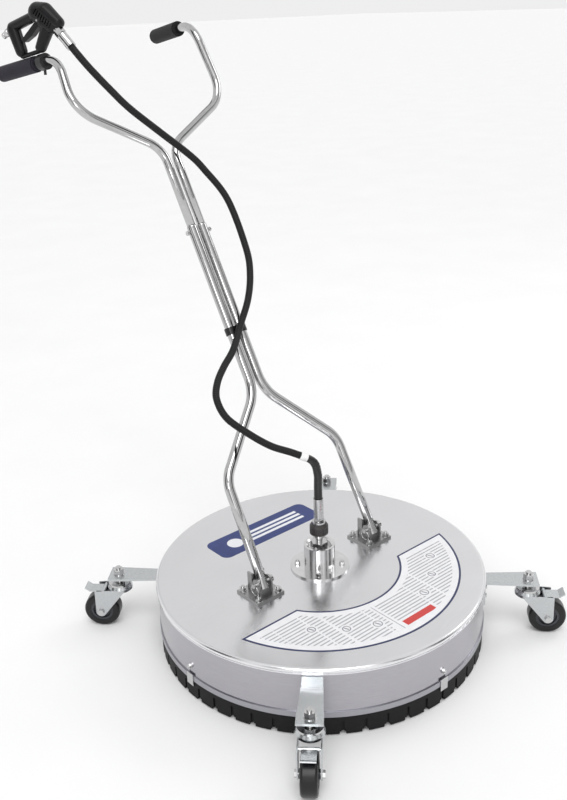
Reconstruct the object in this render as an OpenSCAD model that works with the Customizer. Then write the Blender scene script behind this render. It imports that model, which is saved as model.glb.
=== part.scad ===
// Walk-behind surface cleaner: round spray deck on four casters, tilting tube handle,
// trigger gun on the left grip and a hose down to the rotary inlet.
// Sizes in millimetres. Z is up, the operator stands on the +Y side.

/* [Deck] */
// Outside diameter of the deck at its rolled rim
deck_d = 710; // [640:5:760]
// Height of the deck's top face above the floor
deck_top = 155; // [140:1:170]
// Height of the lower edge of the steel wall
wall_bottom = 45; // [40:1:60]
// Gap between the skirt and the floor
skirt_gap = 3; // [2:0.5:8]
// Number of blocks around the skirt
skirt_blocks = 50; // [30:1:60]

/* [Swivel] */
// Diameter of the rotary inlet housing
swivel_d = 67; // [60:1:74]
// Height of the rotary inlet housing above the deck
swivel_h = 55; // [45:1:60]
// Diameter of the housing's flange
flange_d = 128; // [116:1:140]

/* [Casters] */
// Radius of the circle the caster studs stand on
stud_circle_r = 447; // [430:1:460]
// Caster wheel diameter
wheel_d = 80; // [75:1:84]
// Caster wheel width
wheel_w = 32; // [26:1:34]
// Distance from a stud's axis to its wheel's axle
trail = 44; // [38:1:46]
// Width of a caster arm
arm_w = 50; // [40:1:56]

/* [Handle] */
// Outside diameter of the lower tubes
leg_d = 22; // [21:0.5:25]
// Outside diameter of the upper tubes
upper_d = 19; // [18:0.5:19]
// Length of each hand grip
grip_len = 140; // [110:5:150]
// Outside diameter of a hand grip
grip_d = 34; // [28:1:38]

/* [Hose] */
// Outside diameter of the high-pressure hose
hose_d = 15; // [12:0.5:18]

/* [Hidden] */
$fn = 64;
fine = 0.3;
slip = 0.05;
sheet = 2.5;
deck_r = deck_d / 2;
rim_r = 6.5;
wall_r = deck_r - 3.5;
wall_in = wall_r - sheet;
hem_h = 12;
skirt_in = wall_in - 8;
skirt_out = deck_r - 3;
block_step = 360 / skirt_blocks;
notch_w = 13;
notch_h = 6;
screw_z = 76;

clip_angles = [0, 90, 180, 270];
arm_angles = [225, 315, 45, 135];
bolt_angles = [45, 135, 225, 315];

badge_x = 288;
badge_y = 82;
badge_r = 18;
spindle_r = 10;
nipple_r = 8;
bearing_r = 21;
bearing_w = 12;
housing_bore = 13;
recess_r = 25;
recess_h = 14;
flange_t = 4;
flange_pcd = 97;
housing_top = deck_top + swivel_h;
hub_top = 118;
hub_h = 30;
hub_r = 24;
spray_r = 300;
spray_z = 103;
nozzle_z = 74;

socket_z = housing_top + 12;
sleeve_z = socket_z + 18;
sleeve_h = 24;
sleeve_r = 20;
ferrule_z = sleeve_z + sleeve_h + 10;
ferrule_h = 46;
ferrule_r = 10.5;
hose_start = ferrule_z + ferrule_h;

arm_t = 5;
arm_top = 128;
arm_tip = 20;
stud_r = 6;
wheel_r = wheel_d / 2;
fork_half = 22.5;
fork_t = 2.5;
head_z = 100;
axle_r = 4;
pedal_x = 37;
pedal_z = 88;
pedal_r = 2.5;
pedal_t = 2.6;
pedal_w = 28;
hub_wheel_r = 25;

// Handle corners, from the deck hinge upwards: sideways, back, up.
hinge_x = 160;
hinge_z = 184;
hinge_y = 0;
foot = [hinge_x, hinge_y, hinge_z];
knee = [156, 109, 378];
neck = [13, 185, 511];
split = [13, 466, 1004];
lean = atan2(split.y - neck.y, split.z - neck.z);
elbow_left = [-193, 512, 1098];
wrist_left = [-174, 587, 1197];
tip_left = [-207, 785, 1162];
elbow_right = [194, 512, 1094];
wrist_right = [174, 588, 1250];
tip_right = [206, 785, 1222];
leg_r = leg_d / 2;
upper_r = upper_d / 2;
tube_wall = 1.4;
joint_at = 0.68;
joint_deep = 60;
pin_r = 5;
pin_ring_r = 11;
joint_pin_r = 3;
joint_pin_at = 0.655;
clamp_at = 0.25;
grip_r = grip_d / 2;

tyre_round = 6;
grip_round = 8;
reach_way = unit(tip_left - wrist_left);

// The origin lies midway between the front wheels' reach and the left grip's end.
front_reach = (stud_circle_r + trail + wheel_r + wheel_w / 2 - 2 * tyre_round) * sin(45) + tyre_round;
rear_reach = tip_left.y + grip_round + (grip_r - grip_round) * sqrt(1 - reach_way.y * reach_way.y);
y_shift = (front_reach - rear_reach) / 2;

ear_gap = 13;
ear_t = 4;
plate_w = 70;
plate_t = 5;
plate_y = 8;
plate_bolt = 26;

// The gun lies in an upright plane turned a little outwards from the grip.
gun_turn = 16;
gun_origin = [-177, 608, 1193];
trigger_pivot = [16, 78];
trigger_half = 7;
vent_count = 8;
trigger_pin_r = 2.5;

// Hose centreline from the inlet coupler up to the gun.
hose_route = [
  [0, 0, hose_start],
  [0, 0, 345],
  [-3, -3, 380],
  [-12, 2, 410],
  [-45, 24, 432],
  [-80, 52, 450],
  [-112, 84, 478],
  [-138, 120, 510],
  [-138, 150, 542],
  [-118, 172, 566],
  [-86, 190, 588],
  [-45, 208, 612],
  [0, 236, 652],
  [40, 258, 694],
  [68, 282, 740],
  [84, 312, 790],
  [82, 366, 890],
  [50, 402, 956],
  [24, 418, 990],
  [-30, 445, 1042],
  [-84, 470, 1094],
  [-114, 492, 1134],
  [-140, 516, 1174],
  [-155, 531.2, 1200.6],
  [-158.7, 544.3, 1213.8],
  [-159.9, 548.4, 1218]
];
hose_sides = 10;
hose_steps = 3;
tube_sides = 32;
bore_sides = 24;
bend_steps = 7;

function unit(v) = v / norm(v);
function mix(a, b, t) = a + (b - a) * t;
function corner_run(a, b, c, br) = br * tan((180 - corner_angle(a, b, c)) / 2);
function corner_angle(a, b, c) = acos(unit(a - b) * unit(c - b));
function hex_r(flats) = flats / sqrt(3);

// Smooth curve through the hose's points.
function spline(a, b, c, d, t) = 0.5 * (2 * b + (c - a) * t
  + (2 * a - 5 * b + 4 * c - d) * t * t + (3 * b - a - 3 * c + d) * t * t * t);
function route_at(p, i) = p[max(0, min(len(p) - 1, i))];
function smooth(p) = [
  for (i = [0 : len(p) - 2])
    for (k = [0 : hose_steps - 1])
      spline(route_at(p, i - 1), p[i], p[i + 1], route_at(p, i + 2), k / hose_steps),
  p[len(p) - 1]
];
function heading(p, i) = unit(route_at(p, i + 1) - route_at(p, i - 1));
function carried(n, t) = unit(n - (n * t) * t);
function normals(p, i = 0, n = [1, 0, 0]) = i == len(p) ? []
  : let (m = carried(n, heading(p, i))) concat([m], normals(p, i + 1, m));

// Points along a bend from one straight run to the next.
function bend_points(a, b, c, br) =
  let (
    turn = 180 - corner_angle(a, b, c),
    s = b + unit(a - b) * corner_run(a, b, c, br),
    o = b + unit(unit(a - b) + unit(c - b)) * br / cos(turn / 2),
    x = s - o,
    y = unit(b - s) * br
  ) [for (k = [0 : bend_steps]) o + x * cos(turn * k / bend_steps) + y * sin(turn * k / bend_steps)];
function bent(p, br) = [
  p[0],
  for (i = [1 : len(p) - 2]) each bend_points(p[i - 1], p[i], p[i + 1], br[i]),
  p[len(p) - 1]
];

module place() {
  translate([0, y_shift, 0]) children();
}

// Puts children at p with their Z axis towards q.
module aim(p, q) {
  d = q - p;
  translate(p) rotate([0, acos(d.z / norm(d)), atan2(d.y, d.x)]) children();
}

module rod(p, q, r) {
  aim(p, q) cylinder(r = r, h = norm(q - p));
}

// Skin swept along a path, from rings of points square to it.
module swept(path, r, sides) {
  n = normals(path);
  count = len(path);
  rings = [
    for (i = [0 : count - 1])
      let (t = heading(path, i), u = n[i], v = cross(t, u))
        for (k = [0 : sides - 1])
          path[i] + r * (u * cos(k * 360 / sides) + v * sin(k * 360 / sides))
  ];
  skin = [
    for (i = [0 : count - 2])
      for (k = [0 : sides - 1])
        let (m = (k + 1) % sides)
          [i * sides + k, (i + 1) * sides + k, (i + 1) * sides + m, i * sides + m]
  ];
  first = [for (k = [0 : sides - 1]) k];
  last = [for (k = [sides - 1 : -1 : 0]) (count - 1) * sides + k];
  polyhedron(points = rings, faces = concat([first], [last], skin), convexity = 10);
}

// Hollow tube through the corners p, rounded off to the radii br.
module tube(p, br, r) {
  n = len(p);
  longer = [
    p[0] - unit(p[1] - p[0]),
    for (i = [1 : n - 2]) p[i],
    p[n - 1] + unit(p[n - 1] - p[n - 2])
  ];
  difference() {
    swept(bent(p, br), r, tube_sides);
    swept(bent(longer, br), r - tube_wall, bore_sides);
  }
}

module hex(flats, h) {
  cylinder(r = hex_r(flats), h = h, $fn = 6);
}

module ring(ro, ri, h) {
  difference() {
    cylinder(r = ro, h = h);
    translate([0, 0, -1]) cylinder(r = ri, h = h + 2);
  }
}

module at_stud(angle) {
  rotate([0, 0, angle]) translate([stud_circle_r, 0, 0]) children();
}

module at_wheel(angle) {
  at_stud(angle) translate([trail, 0, wheel_r]) rotate([90, 0, 0]) children();
}

module in_gun_plane() {
  translate(gun_origin)
    rotate([0, 0, gun_turn + 90])
      rotate([90, 0, 0])
        children();
}

// ---- Deck ----

module deck_housing() place() color("#c8c9cd") {
  difference() {
    rotate_extrude($fn = 180) {
      translate([spindle_r + 6, deck_top - sheet]) square([deck_r - rim_r - spindle_r - 6, sheet]);
      translate([deck_r - rim_r, deck_top - rim_r]) difference() {
        circle(r = rim_r, $fn = 32);
        circle(r = rim_r - 2, $fn = 32);
        translate([-rim_r - 1, -rim_r - 1]) square([rim_r, 2 * rim_r + 2]);
      }
      translate([wall_in, wall_bottom]) square([sheet, deck_top - rim_r - wall_bottom - 4]);
      translate([wall_in, deck_top - rim_r - 6]) square([rim_r - 1, 2]);
    }
    for (a = bolt_angles)
      rotate([0, 0, a]) translate([flange_pcd / 2, 0, deck_top - 5]) cylinder(r = 3.1, h = 10);
    for (a = clip_angles)
      rotate([0, 0, a]) translate([wall_in - 2, 0, screw_z]) rotate([0, 90, 0])
        cylinder(r = 2.5 + slip, h = sheet + 4);
  }
}

module hem_band() place() color("#a9abb0") {
  translate([0, 0, wall_bottom - 1]) difference() {
    cylinder(r = wall_r + 2.2, h = hem_h, $fn = 180);
    translate([0, 0, -1]) cylinder(r = wall_r, h = hem_h + 2, $fn = 180);
  }
}

module skirt() place() color("#17171a") {
  difference() {
    union() {
      translate([0, 0, skirt_gap])
        cylinder(r = skirt_out, h = wall_bottom - 1 - skirt_gap - fine, $fn = 180);
      translate([0, 0, wall_bottom - 2])
        cylinder(r = wall_in - slip, h = 18, $fn = 180);
    }
    cylinder(r = skirt_in, h = deck_top, $fn = 180);
    for (i = [0 : skirt_blocks - 1])
      rotate([0, 0, (i + 0.5) * block_step]) {
        translate([skirt_in - 2, -notch_w / 2, skirt_gap - 1]) cube([20, notch_w, notch_h + 1]);
        translate([skirt_out - 3, -3, skirt_gap - 1]) cube([6, 6, 30]);
      }
  }
}

module skirt_clips() place() color("#d6d7da") {
  for (a = clip_angles)
    rotate([0, 0, a]) {
      translate([wall_r + 2.3, -10, wall_bottom - 5]) cube([1.6, 20, 20]);
      translate([skirt_out + fine, -10, wall_bottom - 12]) cube([3.1, 20, 7]);
    }
}

module skirt_screws() place() color("#e3e4e7") {
  for (a = clip_angles)
    rotate([0, 0, a]) translate([wall_r, 0, screw_z]) rotate([0, 90, 0]) {
      cylinder(r = 6, h = 1.2);
      hex(9, 5);
      translate([0, 0, -sheet]) cylinder(r = 2.5, h = sheet + 7);
    }
}

module badge_label() place() color("#37467d") {
  translate([10, 201, deck_top]) linear_extrude(0.3) {
    square([badge_x, badge_y - 2 * badge_r], center = true);
    square([badge_x - 2 * badge_r, badge_y], center = true);
    for (x = [-1, 1], y = [-1, 1])
      translate([x * (badge_x / 2 - badge_r), y * (badge_y / 2 - badge_r)]) circle(r = badge_r);
  }
}

module warning_label() place() color("#f2f2f4") {
  translate([0, 0, deck_top]) linear_extrude(0.3) intersection() {
    difference() {
      circle(r = 302, $fn = 180);
      circle(r = 172, $fn = 180);
    }
    translate([-400, -500]) square([800, 410]);
  }
}

// ---- Rotary inlet and spray rotor ----

module swivel_housing() place() color("#d9dade") {
  difference() {
    union() {
      translate([0, 0, deck_top]) cylinder(r = flange_d / 2, h = flange_t, $fn = 96);
      translate([0, 0, deck_top]) cylinder(r = swivel_d / 2, h = swivel_h, $fn = 96);
    }
    translate([0, 0, deck_top - 1]) cylinder(r = housing_bore, h = swivel_h + 2);
    translate([0, 0, deck_top - 1]) cylinder(r = bearing_r, h = bearing_w + 1);
    translate([0, 0, housing_top - recess_h]) cylinder(r = recess_r, h = recess_h + 1);
    translate([0, 0, housing_top - recess_h - bearing_w]) cylinder(r = bearing_r, h = bearing_w + 1);
    translate([0, 0, housing_top - 3]) cylinder(r1 = recess_r, r2 = recess_r + 5, h = 4);
    translate([0, -swivel_d / 2, deck_top + flange_t]) rotate([0, 0, -45])
      translate([-4, -8, 1]) cube([8, 14, 9]);
    for (a = bolt_angles)
      rotate([0, 0, a]) translate([flange_pcd / 2, 0, deck_top - 1]) cylinder(r = 3.1, h = flange_t + 2);
  }
}

module swivel_bolts() place() color("#8b8c92") {
  for (a = bolt_angles)
    rotate([0, 0, a]) translate([flange_pcd / 2, 0, deck_top + flange_t]) {
      cylinder(r = 6.4, h = 1.2);
      hex(10, 6.5);
      translate([0, 0, -flange_t - sheet - 7]) cylinder(r = 3, h = flange_t + sheet + 16);
      translate([0, 0, -flange_t - sheet - 5.2]) hex(10, 5);
    }
}

module bearings() place() color("#9da0a6") {
  translate([0, 0, deck_top]) ring(bearing_r, spindle_r + slip, bearing_w - 0.2);
  translate([0, 0, housing_top - recess_h - bearing_w + 0.2]) ring(bearing_r, spindle_r + slip, bearing_w - 0.2);
}

module inlet_nipple() place() color("#d5d6da") {
  difference() {
    union() {
      translate([0, 0, housing_top - recess_h + 0.3]) cylinder(r = recess_r - 0.1, h = 3);
      translate([0, 0, housing_top - recess_h + 3]) hex(32, recess_h + 3);
      translate([0, 0, housing_top - recess_h + 3]) cylinder(r = nipple_r, h = recess_h + 31);
    }
    translate([0, 0, housing_top - recess_h]) cylinder(r = 4, h = 60);
  }
}

module spindle() place() color("#c3c5c9") {
  difference() {
    union() {
      translate([0, 0, hub_top - 20]) cylinder(r = spindle_r, h = housing_top - recess_h - hub_top + 19.5);
      translate([0, 0, deck_top - 5]) cylinder(r = spindle_r + 3, h = 4.4);
    }
    translate([0, 0, hub_top - 30]) cylinder(r = 4, h = 150);
  }
}

module rotor_hub() place() color("#b9bbc0") {
  difference() {
    translate([0, 0, hub_top - hub_h]) cylinder(r = hub_r, h = hub_h);
    translate([0, 0, hub_top - 20]) cylinder(r = spindle_r, h = 21);
    for (a = [0, 90])
      rotate([0, 0, a]) translate([-hub_r - 1, 0, spray_z]) rotate([0, 90, 0]) {
        cylinder(r = 8, h = hub_r - 11);
        translate([0, 0, hub_r + 13]) cylinder(r = 8, h = hub_r);
      }
  }
}

module spray_arms() place() color("#cfd1d5") {
  for (a = clip_angles)
    rotate([0, 0, a]) difference() {
      union() {
        translate([13, 0, spray_z]) rotate([0, 90, 0]) cylinder(r = 8, h = spray_r - 13);
        translate([spray_r, 0, nozzle_z + 0.2]) cylinder(r = 11, h = spray_z - nozzle_z + 11);
      }
      translate([10, 0, spray_z]) rotate([0, 90, 0]) cylinder(r = 5, h = spray_r - 10);
      translate([spray_r, 0, nozzle_z - 1]) cylinder(r = 5, h = spray_z - nozzle_z);
    }
}

module nozzles() place() color("#b58a4a") {
  for (a = clip_angles)
    rotate([0, 0, a]) translate([spray_r, 0, nozzle_z]) difference() {
      union() {
        translate([0, 0, -10]) hex(16, 10);
        translate([0, 0, -18]) cylinder(r = 6, h = 9);
      }
      translate([0, 0, -20]) cylinder(r = 1.5, h = 22);
    }
}

// ---- Hose and its fittings ----

module hose_fitting() place() color("#c9cbd0") {
  difference() {
    union() {
      translate([0, 0, socket_z + 6.5]) cylinder(r = 13, h = 12);
      translate([0, 0, socket_z + 12]) cylinder(r = 14.5, h = sleeve_h + 8);
      translate([0, 0, sleeve_z + sleeve_h + 1]) cylinder(r = 9, h = 12);
      translate([0, 0, sleeve_z + sleeve_h + 3]) hex(19, 6);
      translate([0, 0, ferrule_z]) cylinder(r = ferrule_r, h = ferrule_h);
    }
    translate([0, 0, socket_z]) cylinder(r = 4, h = 150);
    translate([0, 0, socket_z]) cylinder(r = nipple_r + slip, h = 24);
    for (z = [14, 22, 30])
      translate([0, 0, ferrule_z + z]) ring(ferrule_r + 1, ferrule_r - 0.6, 3);
  }
}

module coupler_sleeve() place() color("#1b1b1d") {
  difference() {
    union() {
      translate([0, 0, sleeve_z - 3]) cylinder(r = sleeve_r, h = sleeve_h - 6);
      translate([0, 0, sleeve_z + sleeve_h - 9]) cylinder(r1 = sleeve_r, r2 = sleeve_r - 4, h = 6);
    }
    translate([0, 0, sleeve_z - 4]) cylinder(r = 14.5 + slip, h = sleeve_h + 4);
    for (i = [0 : 23])
      rotate([0, 0, i * 15]) translate([sleeve_r - 0.8, -1, sleeve_z]) cube([3, 2, sleeve_h - 12]);
  }
}

module hose() place() color("#1f1f21") {
  swept(smooth(hose_route), hose_d / 2, hose_sides);
}

module hose_band() place() color("#f0f0f0") {
  path = smooth(hose_route);
  a = path[10];
  b = path[11];
  difference() {
    rod(a, b, hose_d / 2 + 1.2);
    rod(a - (b - a) * 0.1, b + (b - a) * 0.1, hose_d / 2 + 0.2);
  }
}

module gun_outlet() place() color("#d5d6da") {
  in_gun_plane() aim([-24, 62, 0], [-62, 25, 0]) {
    cylinder(r = 9, h = 10);
    translate([0, 0, 8]) hex(20, 11);
    cylinder(r = 8, h = 23);
    translate([0, 0, 22]) cylinder(r = ferrule_r, h = 30.9);
  }
}

// ---- Handle ----

module handle_brackets() place() color("#b5b7bc") {
  for (s = [-1, 1])
    translate([s * hinge_x, hinge_y, 0]) difference() {
      union() {
        translate([-plate_w / 2, plate_y - plate_w / 2, deck_top]) cube([plate_w, plate_w, plate_t]);
        for (e = [-1, 1])
          translate([e * (ear_gap + ear_t / 2) - ear_t / 2, 0, 0]) {
            translate([0, -12, deck_top + plate_t]) cube([ear_t, 40, hinge_z - deck_top - plate_t]);
            translate([0, 0, hinge_z]) rotate([0, 90, 0]) cylinder(r = 12, h = ear_t);
            translate([0, 14, deck_top + plate_t]) cube([ear_t, 14, 44]);
          }
        translate([0, hinge_y, hinge_z]) rotate([-lean, 0, 0])
          translate([-ear_gap - 1, leg_r + fine, 6]) cube([2 * ear_gap + 2, 4, 16]);
      }
      translate([-30, 0, hinge_z]) rotate([0, 90, 0]) cylinder(r = pin_r + slip, h = 60);
      for (x = [-1, 1], y = [-1, 1])
        translate([x * plate_bolt, plate_y + y * plate_bolt, deck_top - 1]) cylinder(r = 4.1, h = plate_t + 2);
    }
}

module bracket_bolts() place() color("#dcdde0") {
  for (s = [-1, 1], x = [-1, 1], y = [-1, 1])
    translate([s * hinge_x + x * plate_bolt, hinge_y + plate_y + y * plate_bolt, deck_top + plate_t]) {
      cylinder(r = 8, h = 1.4);
      hex(13, 7);
      cylinder(r = 4, h = 11);
      translate([0, 0, -plate_t]) cylinder(r = 4, h = plate_t + 1);
    }
}

module pivot_pins() place() color("#e2e3e6") {
  for (s = [-1, 1])
    translate([s * hinge_x, hinge_y, hinge_z]) rotate([0, 90, 0]) {
      translate([0, 0, -25]) difference() {
        cylinder(r = pin_r, h = 50);
        translate([0.55, 10, 4]) rotate([90, 0, 0]) cylinder(r = 2.5, h = 20);
      }
      translate([0, 0, 20]) cylinder(r = 8, h = 4);
    }
}

module pin_rings() place() color("#c0c2c7") {
  for (s = [-1, 1])
    translate([s * hinge_x - 21, hinge_y, hinge_z - pin_ring_r])
      rotate([0, 90, 0]) rotate_extrude() translate([pin_ring_r, 0]) circle(r = 1.1, $fn = 16);
}

module leg(s) {
  a = [s * foot.x, foot.y, foot.z];
  b = [s * knee.x, knee.y, knee.z];
  c = [s * neck.x, neck.y, neck.z];
  top = mix([s * neck.x, neck.y, neck.z], [s * split.x, split.y, split.z], joint_at);
  low = a - unit(b - a) * 13;
  pin = mix(c, [s * split.x, split.y, split.z], joint_pin_at);
  difference() {
    tube([low, b, c, top], [0, 70, 90, 0], leg_r);
    translate([a.x - 20, a.y, a.z]) rotate([0, 90, 0]) cylinder(r = pin_r + slip, h = 40);
    translate([pin.x - 20, pin.y, pin.z]) rotate([0, 90, 0]) cylinder(r = joint_pin_r + slip, h = 40);
  }
}

module leg_left() place() color("#cfd0d4") leg(-1);

module leg_right() place() color("#cfd0d4") leg(1);

module upper(s, elbow_p, wrist_p, tip_p) {
  n = [s * neck.x, neck.y, neck.z];
  t = [s * split.x, split.y, split.z];
  low = mix(n, t, joint_at) - unit(t - n) * joint_deep;
  pin = mix(n, t, joint_pin_at);
  bends = [0, 60, 75, 60, 0];
  r = min(upper_r, leg_r - tube_wall - slip);
  difference() {
    tube([low, t, elbow_p, wrist_p, tip_p], bends, r);
    translate([pin.x - 20, pin.y, pin.z]) rotate([0, 90, 0]) cylinder(r = joint_pin_r + slip, h = 40);
  }
}

module upper_left() place() color("#d4d5d9") upper(-1, elbow_left, wrist_left, tip_left);

module upper_right() place() color("#d4d5d9") upper(1, elbow_right, wrist_right, tip_right);

module tube_clamp() place() color("#3a3b3f") {
  p = mix([0, neck.y, neck.z], [0, split.y, split.z], clamp_at);
  translate(p) rotate([-lean, 0, 0]) difference() {
    union() {
      for (s = [-1, 1])
        translate([s * neck.x, 0, -8]) cylinder(r = leg_r + 2.2, h = 16);
      translate([-neck.x, -leg_r - 2.2, -8]) cube([2 * neck.x, 3, 16]);
      translate([-neck.x, leg_r - 0.8, -8]) cube([2 * neck.x, 3, 16]);
    }
    for (s = [-1, 1])
      translate([s * neck.x, 0, -9]) cylinder(r = leg_r + slip, h = 18);
  }
}

module joint_pins() place() color("#e2e3e6") {
  for (s = [-1, 1]) {
    pin = mix([s * neck.x, neck.y, neck.z], [s * split.x, split.y, split.z], joint_pin_at);
    translate([pin.x, pin.y, pin.z]) rotate([0, s * 90, 0]) {
      translate([0, 0, -leg_r - 1]) cylinder(r = joint_pin_r, h = 2 * leg_r + 8);
      translate([0, 0, leg_r + 4]) cylinder(r = 5, h = 3);
    }
  }
}

module grip(wrist_p, tip_p) {
  way = unit(tip_p - wrist_p);
  run = grip_len - grip_round;
  aim(tip_p - way * run, tip_p + way) rotate_extrude() difference() {
    union() {
      square([grip_r - 2.5, 5]);
      translate([0, 4]) square([grip_r, run - 4]);
      translate([0, run - 1]) square([grip_r - grip_round, grip_round + 1]);
      translate([grip_r - grip_round, run]) circle(r = grip_round, $fn = 32);
    }
    square([upper_r + slip, run]);
  }
}

module grip_left() place() color("#46444f") grip(wrist_left, tip_left);

module grip_right() place() color("#232326") grip(wrist_right, tip_right);

// ---- Trigger gun ----

module blob(p, r, squash = 1) {
  translate([p.x, p.y, 0]) scale([1, 1, squash]) sphere(r = r, $fn = 24);
}

module gun_body() place() color("#1c1c1f") {
  in_gun_plane() difference() {
    union() {
      hull() {
        blob([24, 92], 22, 0.85);
        blob([2, 95], 17, 1);
        blob([-32, 72], 12, 1.1);
      }
      hull() {
        blob([-14, 62], 12, 1.1);
        blob([-32, 72], 11, 1.1);
        blob([8, 74], 16, 1);
      }
      hull() {
        blob([36, 86], 10.5, 1.25);
        blob([104, 66], 11, 1.2);
      }
      hull() {
        blob([103, 61], 15, 0.95);
        blob([88, 17.5], 13, 1);
      }
      hull() {
        blob([2, 60], 14, 1);
        blob([27, 24.5], 11, 1.2);
      }
      hull() {
        blob([32, 17.5], 4.5, 1.4);
        blob([86, 6.3], 4.5, 1.4);
      }
    }
    translate([trigger_pivot.x, trigger_pivot.y, -30]) cylinder(r = trigger_pin_r + slip, h = 60);
    translate([8, 50, -trigger_half - 1]) cube([42, 36, 2 * trigger_half + 2]);
    aim([-24, 62, 0], [-62, 25, 0]) {
      cylinder(r = 9 + slip, h = 40);
      translate([0, 0, 7]) cylinder(r = 12, h = 60);
    }
    aim([100, 66, 0], [140, 46, 0]) {
      cylinder(r = 7 + slip, h = 40);
      translate([0, 0, 18]) cylinder(r = 9, h = 40);
    }
    for (i = [0 : vent_count - 1], side = [-1, 1])
      translate([15 - i * 5, 95 - i * 4, side * 18]) rotate([0, 0, 40]) cube([2.6, 13, 12], center = true);
  }
}

module trigger() place() color("#2a2a2e") {
  in_gun_plane() difference() {
    hull() {
      translate([trigger_pivot.x, trigger_pivot.y, -trigger_half]) cylinder(r = 6, h = 2 * trigger_half);
      translate([48, 52, -trigger_half]) cylinder(r = 6, h = 2 * trigger_half);
      translate([70, 40, -trigger_half + 1]) cylinder(r = 5, h = 2 * trigger_half - 2);
    }
    translate([trigger_pivot.x, trigger_pivot.y, -30]) cylinder(r = trigger_pin_r + slip, h = 60);
  }
}

module trigger_pin() place() color("#b8bac0") {
  in_gun_plane() translate([trigger_pivot.x, trigger_pivot.y, -15]) cylinder(r = trigger_pin_r, h = 30);
}

module gun_inlet() place() color("#dcdde1") {
  in_gun_plane() aim([100, 66, 0], [140, 46, 0]) difference() {
    union() {
      cylinder(r = 7, h = 22);
      translate([0, 0, 21]) cylinder(r = 8.5, h = 6);
      cylinder(r = 5.8, h = 40);
      translate([0, 0, 34]) cylinder(r = 6.8, h = 6);
    }
    translate([0, 0, -1]) cylinder(r = 3.5, h = 42);
  }
}

module gun_clamp() place() color("#2b2b2d") {
  way = unit(tip_left - wrist_left);
  start = wrist_left + way * 40;
  difference() {
    rod(start, start + way * 18, grip_r);
    rod(start - way * 3, start + way * 21, upper_r + slip);
  }
  translate(start + way * 9 - [0, 0, grip_r + 9]) cylinder(r = 3, h = 10);
}

// ---- Casters ----

module caster_arms() place() color("#d3d4d8") {
  for (a = arm_angles)
    rotate([0, 0, a]) difference() {
      union() {
        translate([0, 0, arm_top - arm_t]) linear_extrude(arm_t) difference() {
          union() {
            polygon([[wall_r, -arm_w / 2 + 5], [stud_circle_r, -arm_w / 2], [stud_circle_r, arm_w / 2],
              [wall_r, arm_w / 2 - 5]]);
            translate([stud_circle_r - 8, -arm_w / 2]) square([arm_tip + 8, arm_w]);
          }
          circle(r = wall_r + 0.02, $fn = 180);
        }
        intersection() {
          difference() {
            translate([0, 0, 72]) cylinder(r = wall_r + 4.5, h = 68, $fn = 180);
            translate([0, 0, 70]) cylinder(r = wall_r + 0.02, h = 80, $fn = 180);
          }
          translate([wall_r - 20, -arm_w / 2 + 5, 0]) cube([40, arm_w - 10, 200]);
        }
      }
      translate([stud_circle_r, 0, arm_top - arm_t - 1]) cylinder(r = stud_r + slip, h = arm_t + 2);
      for (z = [84, 106])
        translate([wall_r - 10, 0, z]) rotate([0, 90, 0]) cylinder(r = 3.1, h = 30);
    }
}

module arm_bolts() place() color("#dfe0e3") {
  for (a = arm_angles, z = [84, 106])
    rotate([0, 0, a]) translate([wall_r + 4.6, 0, z]) rotate([0, 90, 0]) {
      hex(10, 4);
      translate([0, 0, -4.5]) cylinder(r = 3, h = 5);
    }
}

module caster_studs() place() color("#d0d1d5") {
  for (a = arm_angles)
    at_stud(a) {
      translate([0, 0, head_z - 11]) cylinder(r = stud_r, h = arm_top + 28 - head_z);
      translate([0, 0, head_z - 12]) cylinder(r = 10, h = 3.6);
      translate([0, 0, arm_top]) cylinder(r = 12, h = 2);
      translate([0, 0, arm_top + 2]) hex(19, 10);
      translate([0, 0, arm_top - arm_t - 9]) hex(19, 9);
      translate([0, 0, head_z + 5]) cylinder(r = 25, h = 4.4);
    }
}

module fork(a) {
  at_stud(a) difference() {
    union() {
      translate([0, 0, head_z - 8]) cylinder(r = 27, h = 5.5);
      translate([0, 0, head_z - 3]) cylinder(r1 = 27, r2 = 23, h = 7.5);
      for (s = [-1, 1])
        hull() {
          translate([-12, s * (fork_half - fork_t / 2) - fork_t / 2, head_z - 8]) cube([30, fork_t, 3]);
          translate([trail, s * (fork_half - fork_t / 2) + fork_t / 2, wheel_r])
            rotate([90, 0, 0]) cylinder(r = 11, h = fork_t);
          translate([26, s * (fork_half - fork_t / 2) - fork_t / 2, head_z - 14]) cube([28, fork_t, 6]);
        }
    }
    translate([0, 0, head_z - 9]) cylinder(r = stud_r + slip, h = 30);
    translate([trail, 40, wheel_r]) rotate([90, 0, 0]) cylinder(r = axle_r, h = 80);
    translate([pedal_x, 40, pedal_z]) rotate([90, 0, 0]) cylinder(r = pedal_r + slip, h = 80);
  }
}

module pedal(a) {
  at_stud(a) translate([pedal_x, 0, pedal_z]) {
    translate([0, -pedal_w / 2, 0]) cube([32, pedal_w, pedal_t]);
    translate([30, -pedal_w / 2, 0]) rotate([0, -35, 0]) cube([14, pedal_w, pedal_t]);
    translate([0, 18, 0]) rotate([90, 0, 0]) cylinder(r = 4, h = 36);
    translate([0, fork_half, 0]) rotate([90, 0, 0]) cylinder(r = pedal_r, h = 2 * fork_half);
  }
}

module tyre(a) {
  at_wheel(a) translate([0, 0, -wheel_w / 2]) rotate_extrude() {
    translate([hub_wheel_r + slip, 0]) square([wheel_r - hub_wheel_r - tyre_round, wheel_w]);
    translate([wheel_r - tyre_round, tyre_round]) square([tyre_round, wheel_w - 2 * tyre_round]);
    for (z = [tyre_round, wheel_w - tyre_round])
      translate([wheel_r - tyre_round, z]) circle(r = tyre_round, $fn = 32);
  }
}

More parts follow.
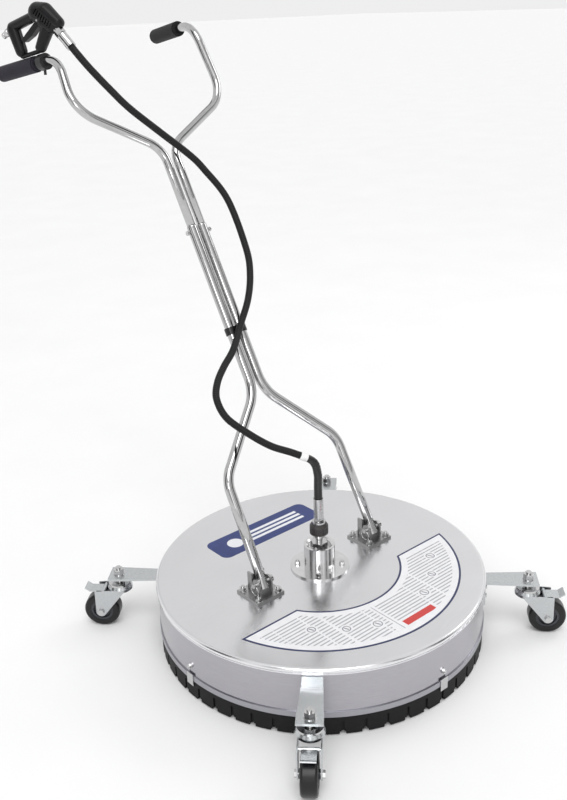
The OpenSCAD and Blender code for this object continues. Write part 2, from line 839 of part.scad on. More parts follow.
module wheel_hub(a) {
  at_wheel(a) translate([0, 0, -wheel_w / 2]) difference() {
    union() {
      translate([0, 0, 1]) cylinder(r = hub_wheel_r, h = wheel_w - 2);
      translate([0, 0, -3]) cylinder(r = 9, h = wheel_w + 6);
    }
    for (z = [0, wheel_w - 6])
      translate([0, 0, z]) ring(20, 11, 6);
    translate([0, 0, -5]) cylinder(r = axle_r + slip, h = wheel_w + 10);
  }
}

module axle(a) {
  at_wheel(a) {
    translate([0, 0, -fork_half - 4]) cylinder(r = axle_r, h = 2 * fork_half + 8);
    translate([0, 0, fork_half + 0.02]) hex(13, 5);
    translate([0, 0, -fork_half - 5.02]) hex(13, 5);
  }
}

module fork_fl() place() color("#c4c6cb") fork(arm_angles[0]);
module fork_fr() place() color("#c4c6cb") fork(arm_angles[1]);
module fork_rr() place() color("#c4c6cb") fork(arm_angles[2]);
module fork_rl() place() color("#c4c6cb") fork(arm_angles[3]);
module pedal_fl() place() color("#8e9096") pedal(arm_angles[0]);
module pedal_fr() place() color("#8e9096") pedal(arm_angles[1]);
module pedal_rr() place() color("#8e9096") pedal(arm_angles[2]);
module pedal_rl() place() color("#8e9096") pedal(arm_angles[3]);
module tyre_fl() place() color("#18181a") tyre(arm_angles[0]);
module tyre_fr() place() color("#18181a") tyre(arm_angles[1]);
module tyre_rr() place() color("#18181a") tyre(arm_angles[2]);
module tyre_rl() place() color("#18181a") tyre(arm_angles[3]);
module hub_fl() place() color("#3b3d42") wheel_hub(arm_angles[0]);
module hub_fr() place() color("#3b3d42") wheel_hub(arm_angles[1]);
module hub_rr() place() color("#3b3d42") wheel_hub(arm_angles[2]);
module hub_rl() place() color("#3b3d42") wheel_hub(arm_angles[3]);
module axle_fl() place() color("#d9dade") axle(arm_angles[0]);
module axle_fr() place() color("#d9dade") axle(arm_angles[1]);
module axle_rr() place() color("#d9dade") axle(arm_angles[2]);
module axle_rl() place() color("#d9dade") axle(arm_angles[3]);

deck_housing();
hem_band();
skirt();
skirt_clips();
skirt_screws();
badge_label();
warning_label();
swivel_housing();
swivel_bolts();
bearings();
inlet_nipple();
spindle();
rotor_hub();
spray_arms();
nozzles();
hose_fitting();
coupler_sleeve();
hose();
hose_band();
gun_outlet();
handle_brackets();
bracket_bolts();
pivot_pins();
pin_rings();
leg_left();
leg_right();
upper_left();
upper_right();
tube_clamp();
joint_pins();
grip_left();
grip_right();
gun_body();
trigger();
trigger_pin();
gun_inlet();
gun_clamp();
caster_arms();
arm_bolts();
caster_studs();
fork_fl();
fork_fr();
fork_rr();
fork_rl();
pedal_fl();
pedal_fr();
pedal_rr();
pedal_rl();
tyre_fl();
tyre_fr();
tyre_rr();
tyre_rl();
hub_fl();
hub_fr();
hub_rr();
hub_rl();
axle_fl();
axle_fr();
axle_rr();
axle_rl();
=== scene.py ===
import math

import bmesh
import bpy
from mathutils import Matrix, Vector


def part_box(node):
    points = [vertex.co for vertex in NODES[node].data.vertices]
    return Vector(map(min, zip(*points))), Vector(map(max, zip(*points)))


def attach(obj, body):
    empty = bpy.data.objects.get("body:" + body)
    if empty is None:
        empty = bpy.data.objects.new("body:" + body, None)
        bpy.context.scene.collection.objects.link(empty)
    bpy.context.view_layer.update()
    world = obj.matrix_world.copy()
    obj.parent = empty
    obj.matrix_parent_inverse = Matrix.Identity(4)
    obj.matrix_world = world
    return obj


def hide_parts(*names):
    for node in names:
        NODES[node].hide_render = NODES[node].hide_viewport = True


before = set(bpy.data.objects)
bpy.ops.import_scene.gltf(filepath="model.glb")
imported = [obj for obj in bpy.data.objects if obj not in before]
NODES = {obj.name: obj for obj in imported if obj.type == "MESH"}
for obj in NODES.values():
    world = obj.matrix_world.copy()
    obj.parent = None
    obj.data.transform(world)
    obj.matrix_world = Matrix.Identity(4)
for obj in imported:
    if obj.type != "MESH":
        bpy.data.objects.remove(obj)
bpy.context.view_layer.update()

# ---- Places taken from the frame, in metres ----


def middle(node):
    low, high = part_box(node)
    return (low + high) / 2


DECK = middle("deck_housing")
DECK_R = (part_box("deck_housing")[1].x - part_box("deck_housing")[0].x) / 2
DECK_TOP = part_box("deck_housing")[1].z


def at(x, y, z):
    """A point given in millimetres from the deck's axis on the floor."""
    return Vector((x / 1000, y / 1000 + DECK.y, z / 1000))


# ---- Camera ----

CAM_AT = at(-1194.3, -1327.6, 1282.0)
CAM_TURN = math.radians(39.87)
CAM_DROP = math.radians(22.41)
CAM_ROLL = math.radians(-2.13)
CAM_LENS = 43.04


def make_camera():
    ahead = Vector((
        math.sin(CAM_TURN) * math.cos(CAM_DROP),
        math.cos(CAM_TURN) * math.cos(CAM_DROP),
        -math.sin(CAM_DROP),
    ))
    flat = Vector((math.cos(CAM_TURN), -math.sin(CAM_TURN), 0))
    over = flat.cross(ahead)
    right = flat * math.cos(CAM_ROLL) + over * math.sin(CAM_ROLL)
    up = over * math.cos(CAM_ROLL) - flat * math.sin(CAM_ROLL)
    data = bpy.data.cameras.new("camera")
    data.lens = CAM_LENS
    data.sensor_width = 36
    data.clip_end = 300
    cam = bpy.data.objects.new("camera", data)
    turn = Matrix((right, up, -ahead)).transposed()
    cam.matrix_world = Matrix.Translation(CAM_AT) @ turn.to_4x4()
    bpy.context.scene.collection.objects.link(cam)
    bpy.context.scene.camera = cam


make_camera()

# ---- Mesh helpers ----


def link(name, mesh, body, material):
    obj = bpy.data.objects.new(name, mesh)
    bpy.context.scene.collection.objects.link(obj)
    for poly in mesh.polygons:
        poly.use_smooth = True
    mesh.materials.clear()
    mesh.materials.append(material)
    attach(obj, body)
    return obj


def catmull(points, steps):
    """The same smooth curve through the points that the CAD route uses."""
    last = len(points) - 1
    out = []
    for i in range(last):
        a, b = points[max(i - 1, 0)], points[i]
        c, d = points[i + 1], points[min(i + 2, last)]
        for k in range(steps):
            t = k / steps
            out.append(0.5 * (2 * b + (c - a) * t + (2 * a - 5 * b + 4 * c - d) * t * t
                              + (3 * b - a - 3 * c + d) * t ** 3))
    out.append(points[last].copy())
    return out


def rounded(points, radii, steps=12):
    """Corners rounded off by arcs of the given radii."""
    out = [points[0].copy()]
    for i in range(1, len(points) - 1):
        a, b, c = points[i - 1], points[i], points[i + 1]
        to_a, to_c = (a - b).normalized(), (c - b).normalized()
        turn = math.pi - to_a.angle(to_c)
        start = b + to_a * radii[i] * math.tan(turn / 2)
        centre = b + (to_a + to_c).normalized() * radii[i] / math.cos(turn / 2)
        x, y = start - centre, -to_a * radii[i]
        for k in range(steps + 1):
            angle = turn * k / steps
            out.append(centre + x * math.cos(angle) + y * math.sin(angle))
    out.append(points[-1].copy())
    return out


def sweep_mesh(name, path, radius, sides):
    """A capped skin round a path. radius is a number or a function of the distance along.
    UV: across is the way round, up is the distance along in metres."""
    mesh = bpy.data.meshes.new(name)
    bm = bmesh.new()
    uv = bm.loops.layers.uv.new("along")
    along = [0.0]
    for a, b in zip(path, path[1:]):
        along.append(along[-1] + (b - a).length)
    size = radius if callable(radius) else (lambda s: radius)
    side = Vector((1, 0, 0))
    rings = []
    for i, point in enumerate(path):
        ahead = (path[min(i + 1, len(path) - 1)] - path[max(i - 1, 0)]).normalized()
        side = (side - ahead * side.dot(ahead)).normalized()
        other = ahead.cross(side)
        r = size(along[i])
        rings.append([
            bm.verts.new(point + r * (side * math.cos(2 * math.pi * k / sides)
                                      + other * math.sin(2 * math.pi * k / sides)))
            for k in range(sides)
        ])
    for i in range(len(path) - 1):
        for k in range(sides):
            m = (k + 1) % sides
            face = bm.faces.new((rings[i][k], rings[i][m], rings[i + 1][m], rings[i + 1][k]))
            for loop, (u, v) in zip(face.loops, ((k, i), (k + 1, i), (k + 1, i + 1), (k, i + 1))):
                loop[uv].uv = (u / sides, along[v])
    bm.faces.new(list(reversed(rings[0])))
    bm.faces.new(rings[-1])
    bm.to_mesh(mesh)
    bm.free()
    return mesh


# ---- Material helpers ----


class Nodes:
    """Short calls for building one material's node tree."""

    def __init__(self, name, **sockets):
        self.mat = bpy.data.materials.new(name)
        self.mat.use_nodes = True
        self.tree = self.mat.node_tree
        self.bsdf = self.tree.nodes["Principled BSDF"]
        for key, value in sockets.items():
            self.bsdf.inputs[key.replace("_", " ")].default_value = value

    def add(self, kind, _props=None, **inputs):
        node = self.tree.nodes.new(kind)
        for key, value in (_props or {}).items():
            setattr(node, key, value)
        for key, value in inputs.items():
            name = int(key[1:]) if key[0] == "i" and key[1:].isdigit() else key.replace("_", " ")
            self.put(value, node.inputs[name])
        return node.outputs[0]

    def put(self, value, socket):
        if isinstance(value, bpy.types.NodeSocket):
            self.tree.links.new(value, socket)
        else:
            socket.default_value = value

    def math(self, op, a, b=0.0, c=0.0):
        return self.add("ShaderNodeMath", _props={"operation": op}, i0=a, i1=b, i2=c)

    def coords(self, which="Object"):
        node = self.tree.nodes.new("ShaderNodeTexCoord")
        return node.outputs[which]

    def scaled(self, vector, scale):
        return self.add("ShaderNodeMapping", i0=vector, Scale=scale)

    def noise(self, vector, scale, detail=3.0, rough=0.55):
        return self.add("ShaderNodeTexNoise", Vector=vector, Scale=scale, Detail=detail,
                        Roughness=rough)

    def ramp(self, value, stops):
        node = self.tree.nodes.new("ShaderNodeValToRGB")
        self.put(value, node.inputs[0])
        cells = node.color_ramp.elements
        while len(cells) < len(stops):
            cells.new(0.5)
        for cell, (where, colour) in zip(cells, stops):
            cell.position = where
            cell.color = (*colour, 1)
        return node.outputs[0]

    def mix(self, fac, a, b):
        node = self.tree.nodes.new("ShaderNodeMix")
        node.data_type = "RGBA"
        self.put(fac, node.inputs[0])
        for socket, value in ((node.inputs[6], a), (node.inputs[7], b)):
            self.put((*value, 1) if isinstance(value, tuple) and len(value) == 3 else value, socket)
        return node.outputs[2]

    def bump(self, height, strength, distance):
        node = self.tree.nodes.new("ShaderNodeBump")
        node.inputs["Strength"].default_value = strength
        node.inputs["Distance"].default_value = distance
        self.put(height, node.inputs["Height"])
        return node.outputs[0]

    def split(self, vector):
        node = self.tree.nodes.new("ShaderNodeSeparateXYZ")
        self.put(vector, node.inputs[0])
        return node.outputs

    def to(self, socket, value):
        self.put(value, self.bsdf.inputs[socket])


def grey(v):
    return (v, v, v)


def metal(name, tone, rough, spread, scale, grain, depth, tint=(1, 1, 1)):
    """Metal with fine grain stretched by scale, and soft cloudy changes in gloss."""
    n = Nodes(name, Metallic=1.0)
    where = n.coords()
    fine = n.noise(n.scaled(where, scale), grain / 60, 4.0, 0.6)
    cloud = n.noise(where, 9.0, 3.0)
    dark = tuple(tone * 0.9 * c for c in tint)
    light = tuple(min(1, tone * 1.06) * c for c in tint)
    n.to("Base Color", n.ramp(fine, [(0.25, dark), (0.75, light)]))
    cloudy = n.math("MULTIPLY_ADD", cloud, spread, rough - spread / 2)
    grainy = n.math("MULTIPLY", n.math("SUBTRACT", fine, 0.5), spread)
    n.to("Roughness", n.math("ADD", grainy, cloudy))
    n.to("Normal", n.bump(fine, 0.35, depth))
    return n.mat


def plastic(name, tone, rough, grain=900.0, depth=0.0001, strength=0.35, spec=0.5):
    """Moulded plastic or rubber with a fine texture and slight wear."""
    n = Nodes(name, Metallic=0.0, Specular_IOR_Level=spec)
    where = n.coords()
    fine = n.noise(where, grain, 2.0)
    cloud = n.noise(where, 30.0, 4.0)
    dark, light = tuple(c * 0.75 for c in tone), tuple(c * 1.35 for c in tone)
    n.to("Base Color", n.ramp(cloud, [(0.3, dark), (0.75, light)]))
    n.to("Roughness", n.math("MULTIPLY_ADD", cloud, 0.16, rough - 0.08))
    n.to("Normal", n.bump(fine, strength, depth))
    return n.mat


CHROME = metal("chrome", 0.52, 0.05, 0.02, (40, 40, 40), 160.0, 0.000002)


# Depth below the deck's top of the painted highlight band on the rolled lip.
LIP_HIGHLIGHT_DEPTH = 0.013
TOP_SKIN = 0.0012


def deck_steel():
    """Satin sheet: brushed one way on the top, round the wall below the rolled lip. The wall's
    darker colour is painted shade on the same steel as the top, and the lip's bright band is a
    painted highlight.
    """
    n = Nodes("satin_steel", Metallic=1.0)
    where = n.coords()
    _x, _y, height = n.split(where)
    top = n.noise(n.scaled(where, (25, 900, 25)), 1.5, 4.0)
    side = n.noise(n.scaled(where, (30, 30, 1400)), 1.5, 4.0)
    on_top = n.math("GREATER_THAN", height, DECK_TOP - TOP_SKIN)
    grain = n.math("MULTIPLY_ADD", on_top, n.math("SUBTRACT", top, side), side)
    cloud = n.noise(where, 4.0, 2.0)
    flat = n.ramp(n.math("MULTIPLY_ADD", grain, 0.5, n.math("MULTIPLY", cloud, 0.5)),
                  [(0.3, (0.70, 0.70, 0.715)), (0.7, (0.80, 0.80, 0.815))])
    # Painted shade: the wall is coloured darker than the top, as the same steel in shade.
    wall = n.ramp(side, [(0.25, (0.40, 0.39, 0.42)), (0.75, (0.50, 0.49, 0.52))])
    # Painted highlight: a bright band of colour on the rolled lip, the same steel as the wall.
    lip = n.math("GREATER_THAN", height, DECK_TOP - LIP_HIGHLIGHT_DEPTH)
    n.to("Base Color", n.mix(on_top, n.mix(lip, wall, (0.83, 0.83, 0.85)), flat))
    n.to("Roughness", n.math("MULTIPLY_ADD", grain, 0.08, 0.17))
    n.to("Normal", n.bump(grain, 0.25, 0.00001))
    return n.mat


SATIN = deck_steel()
# Painted shade: the wall's steel is coloured darker and slightly blue, a shaded copy of the deck's
# satin steel.
SHADED_WALL_STEEL = metal("wall_steel_painted_shade", 0.42, 0.32, 0.05, (30, 30, 1400), 90.0, 0.00001, (0.97, 0.97, 1.05))
ZINC = metal("zinc", 0.60, 0.24, 0.1, (60, 60, 60), 240.0, 0.00003, (0.95, 0.98, 1.0))
BRIGHT = metal("bright_steel", 0.60, 0.14, 0.06, (60, 60, 60), 200.0, 0.00001)
TURNED = metal("turned_aluminium", 0.70, 0.16, 0.06, (20, 20, 1600), 120.0, 0.00001)
CAST = metal("bracket_steel", 0.42, 0.30, 0.12, (60, 60, 60), 300.0, 0.00008)
BRASS = metal("brass", 0.75, 0.28, 0.08, (60, 60, 60), 200.0, 0.00002, (1.0, 0.78, 0.42))
SKIRT = plastic("skirt_rubber", (0.0045, 0.0045, 0.005), 0.6, 700.0, 0.0002, 0.35, 0.25)
TYRE = plastic("tyre_rubber", (0.006, 0.006, 0.007), 0.3, 600.0, 0.0001, 0.35, 0.4)
HUB = plastic("hub_plastic", (0.03, 0.032, 0.038), 0.35)
MOULD = plastic("moulded_black", (0.006, 0.006, 0.007), 0.34, 1100.0, 0.00012, 0.35, 0.25)
COLLAR = plastic("collar_rubber", (0.008, 0.008, 0.008), 0.3)


def foam(name, tone):
    n = Nodes(name, Roughness=0.8, Specular_IOR_Level=0.3, Sheen_Weight=0.06, Sheen_Roughness=0.5)
    where = n.coords()
    cells = n.add("ShaderNodeTexVoronoi", Vector=where, Scale=900.0)
    fine = n.noise(where, 1400.0, 3.0)
    cloud = n.noise(where, 40.0, 3.0)
    dark, light = tuple(c * 0.8 for c in tone), tuple(c * 1.3 for c in tone)
    n.to("Base Color", n.ramp(cloud, [(0.3, dark), (0.75, light)]))
    n.to("Normal", n.bump(n.math("ADD", cells, n.math("MULTIPLY", fine, 0.6)), 0.5, 0.0004))
    return n.mat


WRAP_PITCH = 0.0042


def hose_rubber():
    """Cover with a fine wrap mark that winds round the hose."""
    n = Nodes("hose_rubber", Specular_IOR_Level=0.25)
    uv = n.split(n.coords("UV"))
    turn = n.math("MULTIPLY", uv[0], 2 * math.pi)
    along = n.math("MULTIPLY", uv[1], 2 * math.pi / WRAP_PITCH)
    wrap = n.math("MULTIPLY_ADD", n.math("SINE", n.math("ADD", along, turn)), 0.5, 0.5)
    fine = n.noise(n.coords(), 900.0, 3.0)
    n.to("Base Color", n.ramp(wrap, [(0.0, (0.003, 0.003, 0.003)), (1.0, (0.012, 0.012, 0.013))]))
    n.to("Roughness", n.math("MULTIPLY_ADD", fine, 0.2, 0.34))
    n.to("Normal", n.bump(n.math("ADD", wrap, n.math("MULTIPLY", fine, 0.3)), 0.7, 0.0007))
    return n.mat


HOSE = hose_rubber()
# Painted light: the left grip is a lighter, purple-tinted copy of the same black foam as the right
# grip.
FOAM_LEFT = foam("foam_left", (0.017, 0.015, 0.024))
FOAM_RIGHT = foam("foam_right", (0.006, 0.006, 0.007))

# ---- Hose, the free cord ----

HOSE_D = 0.015
FITTING_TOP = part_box("hose_fitting")[1].z * 1000
HOSE_ROUTE = [
    (0, 0, FITTING_TOP), (0, 0, 345), (-3, -3, 380), (-12, 2, 410), (-45, 24, 432),
    (-80, 52, 450), (-112, 84, 478), (-138, 120, 510), (-138, 150, 542), (-118, 172, 566),
    (-86, 190, 588), (-45, 208, 612), (0, 236, 652), (40, 258, 694), (68, 282, 740),
    (84, 312, 790), (82, 366, 890), (50, 402, 956), (24, 418, 990), (-30, 445, 1042),
    (-84, 470, 1094), (-114, 492, 1134), (-140, 516, 1174), (-155, 531.2, 1200.6),
    (-158.7, 544.3, 1213.8), (-159.9, 548.4, 1218),
]
HOSE_PATH = catmull([at(*p) for p in HOSE_ROUTE], 10)
hose = link("hose_skin", sweep_mesh("hose_skin", HOSE_PATH, HOSE_D / 2, 20), "deck", HOSE)
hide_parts("hose")


def stretch_of(path, start, end, step):
    """The part of a path between two distances along it, resampled evenly."""
    out, along, want = [], 0.0, start
    for a, b in zip(path, path[1:]):
        length = (b - a).length
        while want <= along + length and want <= end:
            out.append(a.lerp(b, (want - along) / length))
            want += step
        along += length
    return out


GUARD_START, GUARD_END, GUARD_STEP = 0.001, 0.105, 0.0006
GUARD_PATH = stretch_of(HOSE_PATH, GUARD_START, GUARD_END, GUARD_STEP)
RIB_PITCH, RIB_HEIGHT = 0.0062, 0.0005
GUARD_WALL, GUARD_LIFT = 0.0009, 0.0002
EASE_FROM, EASE_LENGTH = 0.104, 0.02


def guard_radius(s):
    """Ribbed sleeve that eases down to the hose at its upper end."""
    rib = RIB_HEIGHT * (0.5 + 0.5 * math.cos(2 * math.pi * s / RIB_PITCH))
    ease = min(1.0, max(0.0, (EASE_FROM - s) / EASE_LENGTH))
    return HOSE_D / 2 + GUARD_LIFT + (GUARD_WALL + rib) * ease


GUARD = plastic("guard_rubber", (0.006, 0.006, 0.006), 0.32, 700.0, 0.00006)
link("hose_guard", sweep_mesh("hose_guard", GUARD_PATH, guard_radius, 28), "deck", GUARD)

# ---- Tubes ----

HINGE = (160, 0, 184)
KNEE = (156, 109, 378)
NECK = (13, 185, 511)
SPLIT = (13, 466, 1004)
TUBE_ENDS = {
    -1: ((-193, 512, 1098), (-174, 587, 1197), (-207, 785, 1162)),
    1: ((194, 512, 1094), (174, 588, 1250), (206, 785, 1222)),
}
JOINT_AT = 0.68
LEG_R = 0.011
UPPER_R = 0.0095
PAST_HINGE = 0.013
SOCKET_DEPTH = 0.02
LIP_TURN = 0.0008
LIP_BACKS = (0.003, 0.0012, 0)


def tubes():
    """Chrome legs with a turned-in lip at the joint, and the upper tubes socketed in them."""
    for side, word in ((-1, "left"), (1, "right")):
        hinge, knee, neck, split = (
            at(side * p[0], p[1], p[2]) for p in (HINGE, KNEE, NECK, SPLIT))
        joint = neck.lerp(split, JOINT_AT)
        low = hinge - (knee - hinge).normalized() * PAST_HINGE
        path = rounded([low, knee, neck, joint], [0, 0.07, 0.09, 0])
        total = sum((b - a).length for a, b in zip(path, path[1:]))
        back = (path[-2] - path[-1]).normalized()
        path = path[:-1] + [path[-1] + back * d for d in LIP_BACKS]
        radius = lambda s, t=total: LEG_R - (LIP_TURN if s > t - 0.0005 else 0)
        leg = link("leg_skin_" + word, sweep_mesh("leg_skin_" + word, path, radius, 40),
                   "handle", CHROME)
        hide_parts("leg_" + word)
        elbow, wrist, tip = (at(*p) for p in TUBE_ENDS[side])
        start = joint - (split - neck).normalized() * SOCKET_DEPTH
        path = rounded([start, split, elbow, wrist, tip], [0, 0.06, 0.075, 0.06, 0])
        upper = link("upper_skin_" + word, sweep_mesh("upper_skin_" + word, path, UPPER_R, 40),
                     "handle", CHROME)
        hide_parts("upper_" + word)


tubes()

# ---- CAD nodes: finishes and softened edges ----


EDGE_ANGLE = math.radians(35)


def soften(node, width):
    bevel = NODES[node].modifiers.new("soften", "BEVEL")
    bevel.width = width
    bevel.segments = 2
    bevel.limit_method = "ANGLE"
    bevel.angle_limit = EDGE_ANGLE
    bevel.harden_normals = True


def finish_node(node, material, bevel=0.0):
    obj = NODES[node]
    obj.data.materials.clear()
    obj.data.materials.append(material)
    for poly in obj.data.polygons:
        poly.use_smooth = True
    if bevel:
        soften(node, bevel)


FINISHES = {
    SATIN: ["deck_housing"],
    SHADED_WALL_STEEL: ["hem_band"],
    SKIRT: ["skirt"],
    BRIGHT: ["skirt_clips", "skirt_screws", "swivel_bolts", "bearings", "inlet_nipple", "spindle",
             "spray_arms", "hose_fitting", "gun_outlet", "bracket_bolts", "pivot_pins", "pin_rings",
             "joint_pins", "trigger_pin", "gun_inlet", "arm_bolts", "caster_studs"],
    TURNED: ["swivel_housing", "rotor_hub"],
    BRASS: ["nozzles"],
    CAST: ["handle_brackets"],
    COLLAR: ["tube_clamp", "gun_clamp"],
    MOULD: ["gun_body", "trigger"],
    FOAM_LEFT: ["grip_left"],
    FOAM_RIGHT: ["grip_right"],
    ZINC: ["caster_arms"],
}
for corner in ("fl", "fr", "rr", "rl"):
    FINISHES[ZINC] += ["fork_" + corner, "pedal_" + corner]
    FINISHES[BRIGHT] += ["axle_" + corner]
    FINISHES.setdefault(TYRE, []).append("tyre_" + corner)
    FINISHES.setdefault(HUB, []).append("hub_" + corner)
EDGES = {
    "swivel_housing": 0.0008, "handle_brackets": 0.0008, "caster_arms": 0.0008,
    "bracket_bolts": 0.0006, "caster_studs": 0.0006, "hose_fitting": 0.0005, "gun_outlet": 0.0005,
    "skirt_clips": 0.0004, "skirt_screws": 0.0004, "swivel_bolts": 0.0005, "inlet_nipple": 0.0005,
    "tube_clamp": 0.0006, "gun_clamp": 0.0006, "skirt": 0.001,
}
for material, names in FINISHES.items():
    for name in names:
        finish_node(name, material, EDGES.get(name, 0.0))

# ---- Labels: plain colour fields with generic marks, no lettering ----


# Metres from the deck's axis, then metres from the badge's middle.
BADGE_MID = (0.012, 0.201)
DISC_X, DISC_R = -0.088, 0.019
BARS_X, BARS_HALF, BAR_HALF = 0.026, 0.08, 0.0043
BAR_PLACES = (-0.0145, 0.0, 0.0145)


def badge_material():
    """Blue plate with a plain light disc and three plain bars where a name would be."""
    n = Nodes("badge_film", Roughness=0.34, Specular_IOR_Level=0.4)
    x, y, _z = n.split(n.coords())
    x = n.math("SUBTRACT", x, BADGE_MID[0])
    y = n.math("SUBTRACT", y, DECK.y + BADGE_MID[1])
    dx = n.math("SUBTRACT", x, DISC_X)
    away = n.math("SQRT", n.math("ADD", n.math("MULTIPLY", dx, dx), n.math("MULTIPLY", y, y)))
    mark = n.math("LESS_THAN", away, DISC_R)
    long = n.math("LESS_THAN", n.math("ABSOLUTE", n.math("SUBTRACT", x, BARS_X)), BARS_HALF)
    for place in BAR_PLACES:
        bar = n.math("LESS_THAN", n.math("ABSOLUTE", n.math("SUBTRACT", y, place)), BAR_HALF)
        mark = n.math("MAXIMUM", mark, n.math("MULTIPLY", bar, long))
    cloud = n.noise(n.coords(), 60.0)
    blue = n.ramp(cloud, [(0.3, (0.018, 0.034, 0.15)), (0.7, (0.024, 0.044, 0.18))])
    n.to("Base Color", n.mix(mark, blue, (0.78, 0.79, 0.82)))
    return n.mat


# The notice's round marks: x, y and radius in metres from the deck's axis.
SPOTS = (
    (-0.062, -0.235, 0.010), (-0.118, -0.205, 0.009), (-0.17, -0.16, 0.009),
    (0.085, -0.225, 0.010), (0.148, -0.19, 0.009), (0.20, -0.14, 0.010),
)
ROW_PITCH = 0.0088


def warning_material():
    """White notice in a navy border: grey bars, round marks and a red heading bar."""
    n = Nodes("notice_film", Roughness=0.32, Coat_Weight=0.2)
    x, y, _z = n.split(n.coords())
    y = n.math("SUBTRACT", y, DECK.y)
    r = n.math("SQRT", n.math("ADD", n.math("MULTIPLY", x, x), n.math("MULTIPLY", y, y)))

    def between(value, low, high):
        half, mid = (high - low) / 2, (high + low) / 2
        return n.math("LESS_THAN", n.math("ABSOLUTE", n.math("SUBTRACT", value, mid)), half)

    def both(a, b):
        return n.math("MULTIPLY", a, b)

    edge = n.math("SUBTRACT", 1.0, both(between(r, 0.1765, 0.2975), n.math("LESS_THAN", y, -0.0945)))
    rows = n.math("FRACT", n.math("MULTIPLY", y, 1 / ROW_PITCH))
    grain = n.noise(n.scaled(n.coords(), (95, 0.001, 0.001)), 1.0, 2.0)
    bars = both(between(rows, 0.0, 0.34), n.math("GREATER_THAN", grain, 0.40))
    body = both(between(r, 0.19, 0.284), n.math("LESS_THAN", y, -0.107))
    divider = both(between(x, -0.034, -0.0325), body)
    heading = both(both(between(x, -0.022, 0.062), between(y, -0.279, -0.262)), body)
    clear = n.math("SUBTRACT", 1.0, both(between(x, -0.05, 0.07), between(y, -0.30, -0.256)))
    clear = both(clear, n.math("SUBTRACT", 1.0, between(x, -0.04, -0.026)))
    ink = both(both(bars, body), clear)
    tone = n.math("MULTIPLY", ink, 0.62)
    paper = n.noise(n.coords(), 80.0)
    look = n.ramp(paper, [(0.3, (0.74, 0.74, 0.76)), (0.7, (0.80, 0.80, 0.82))])
    for spot_x, spot_y, size in SPOTS:
        dx, dy = n.math("SUBTRACT", x, spot_x), n.math("SUBTRACT", y, spot_y)
        away = n.math("SQRT", n.math("ADD", both(dx, dx), both(dy, dy)))
        free = n.math("GREATER_THAN", away, size + 0.004)
        tone = both(tone, free)
        ring = between(away, size - 0.0022, size)
        core = both(between(n.math("ADD", dx, n.math("MULTIPLY", dy, 0.4)), -0.0016, 0.0016),
                    n.math("LESS_THAN", away, size * 0.62))
        tone = n.math("MAXIMUM", tone, n.math("MULTIPLY", n.math("MAXIMUM", ring, core), 0.85))
    look = n.mix(tone, look, (0.10, 0.10, 0.13))
    look = n.mix(divider, look, (0.2, 0.2, 0.24))
    look = n.mix(heading, look, (0.55, 0.03, 0.025))
    n.to("Base Color", n.mix(edge, look, (0.012, 0.020, 0.085)))
    return n.mat


KNURL_TURNS, KNURL_PITCH = 44.0, 0.0028


def knurl_material():
    """Black collar with a crossed knurl round the deck's axis."""
    n = Nodes("collar_knurl", Roughness=0.28, Specular_IOR_Level=0.6)
    x, y, z = n.split(n.coords())
    turn = n.math("MULTIPLY", n.math("ARCTAN2", n.math("SUBTRACT", y, DECK.y), x), KNURL_TURNS)
    rise = n.math("MULTIPLY", z, 2 * math.pi / KNURL_PITCH)
    one = n.math("SINE", n.math("ADD", turn, rise))
    two = n.math("SINE", n.math("SUBTRACT", turn, rise))
    height = n.math("MAXIMUM", one, two)
    # Painted highlight and shade: knurl crests coloured lighter with a coppery tint, grooves darker.
    dark, light = (0.003, 0.003, 0.003), (0.022, 0.016, 0.014)
    n.to("Base Color", n.ramp(height, [(0.1, dark), (0.95, light)]))
    n.to("Normal", n.bump(height, 0.6, 0.0003))
    return n.mat


finish_node("coupler_sleeve", knurl_material(), 0.0006)
finish_node("badge_label", badge_material())
finish_node("warning_label", warning_material())
BAND = plastic("band_tape", (0.72, 0.72, 0.72), 0.35, 500.0, 0.00005)
finish_node("hose_band", BAND)

# ---- Studio ----

FLOOR_HALF = 90.0
WORLD_BASE = 0.86
# Dark and bright studio flags round the object. Middle azimuth and half width are in
# degrees from +Y toward +X; lowest and highest z are of a unit vector; tone is the last.
FLAGS = [
    (290, 14, -0.35, 0.75, 0.01),
    (252, 7, -0.35, 0.75, 0.05),
    (140, 12, -0.35, 0.75, 0.01),
    (172, 8, -0.1, 0.9, 0.06),
    (30, 44, 0.2, 0.98, 0.86),
    (62, 10, 0.22, 0.95, 1.05),
    (14, 7, 0.22, 0.95, 0.55),
    (0, 200, 0.93, 1.1, 0.7),
    (224, 6, 0.05, 0.8, 3.2),
    (195, 4, 0.1, 0.8, 2.4),
]
FLAG_SOFT_SIDE = 0.12
FLAG_SOFT_END = 0.1


def studio_floor():
    mesh = bpy.data.meshes.new("floor")
    half = FLOOR_HALF
    corners = [(-half, -half, 0), (half, -half, 0), (half, half, 0), (-half, half, 0)]
    mesh.from_pydata(corners, [], [(0, 1, 2, 3)])
    floor = bpy.data.objects.new("floor", mesh)
    bpy.context.scene.collection.objects.link(floor)
    n = Nodes("floor_paper", Roughness=0.8, Specular_IOR_Level=0.1)
    paper = n.noise(n.coords(), 3.0)
    n.to("Base Color", n.ramp(paper, [(0.3, grey(0.86)), (0.7, grey(0.88))]))
    mesh.materials.append(n.mat)


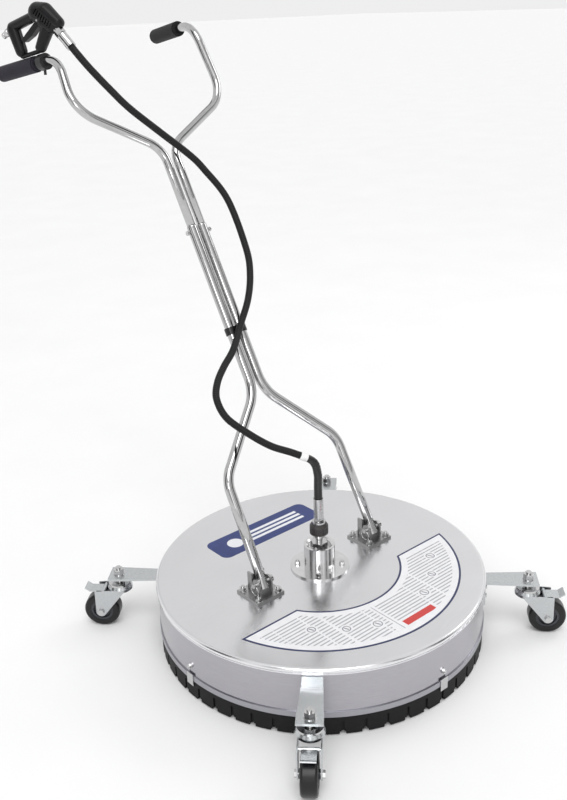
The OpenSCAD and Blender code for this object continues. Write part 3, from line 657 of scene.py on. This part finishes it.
def studio_world():
    world = bpy.data.worlds.new("studio")
    bpy.context.scene.world = world
    world.use_nodes = True
    n = Nodes.__new__(Nodes)
    n.tree = world.node_tree
    x, y, z = n.split(n.coords("Generated"))
    azimuth = n.math("ARCTAN2", x, y)
    tone = WORLD_BASE
    for middle_at, half_width, low, high, shade in FLAGS:
        turn = n.math("SUBTRACT", azimuth, math.radians(middle_at))
        turn = n.math("ARCCOSINE", n.math("COSINE", turn))
        side = n.math("DIVIDE", n.math("SUBTRACT", math.radians(half_width), turn),
                      FLAG_SOFT_SIDE)
        under = n.math("DIVIDE", n.math("SUBTRACT", high, z), FLAG_SOFT_END)
        over = n.math("DIVIDE", n.math("SUBTRACT", z, low), FLAG_SOFT_END)
        cover = n.math("MINIMUM", n.math("MINIMUM", side, under), over)
        cover = n.math("MINIMUM", n.math("MAXIMUM", cover, 0.0), 1.0)
        gap = n.math("SUBTRACT", shade, tone)
        tone = n.math("MULTIPLY_ADD", cover, gap, tone)
    n.tree.links.new(tone, n.tree.nodes["Background"].inputs[0])
    n.tree.nodes["Background"].inputs[1].default_value = 1.0


def studio_lights():
    sun = bpy.data.lights.new("sun", "SUN")
    sun.energy = 1.0
    sun.angle = math.radians(35)
    lamp = bpy.data.objects.new("sun", sun)
    lamp.rotation_euler = Vector((0.35, 0.45, -1.0)).to_track_quat("-Z", "Y").to_euler()
    bpy.context.scene.collection.objects.link(lamp)
    for name, place, size, power in (
        ("key", (-2.6, -1.9, 2.2), 0.7, 9), ("side", (2.6, -0.6, 2.4), 0.8, 9),
    ):
        light = bpy.data.lights.new(name, "AREA")
        light.shape = "SQUARE"
        light.size = size
        light.energy = power
        lamp = bpy.data.objects.new(name, light)
        lamp.location = place
        aim = Vector((0, -0.1, 0.3)) - Vector(place)
        lamp.rotation_euler = aim.to_track_quat("-Z", "Y").to_euler()
        bpy.context.scene.collection.objects.link(lamp)
    bpy.context.scene.view_settings.view_transform = "Standard"


studio_floor()
studio_world()
studio_lights()
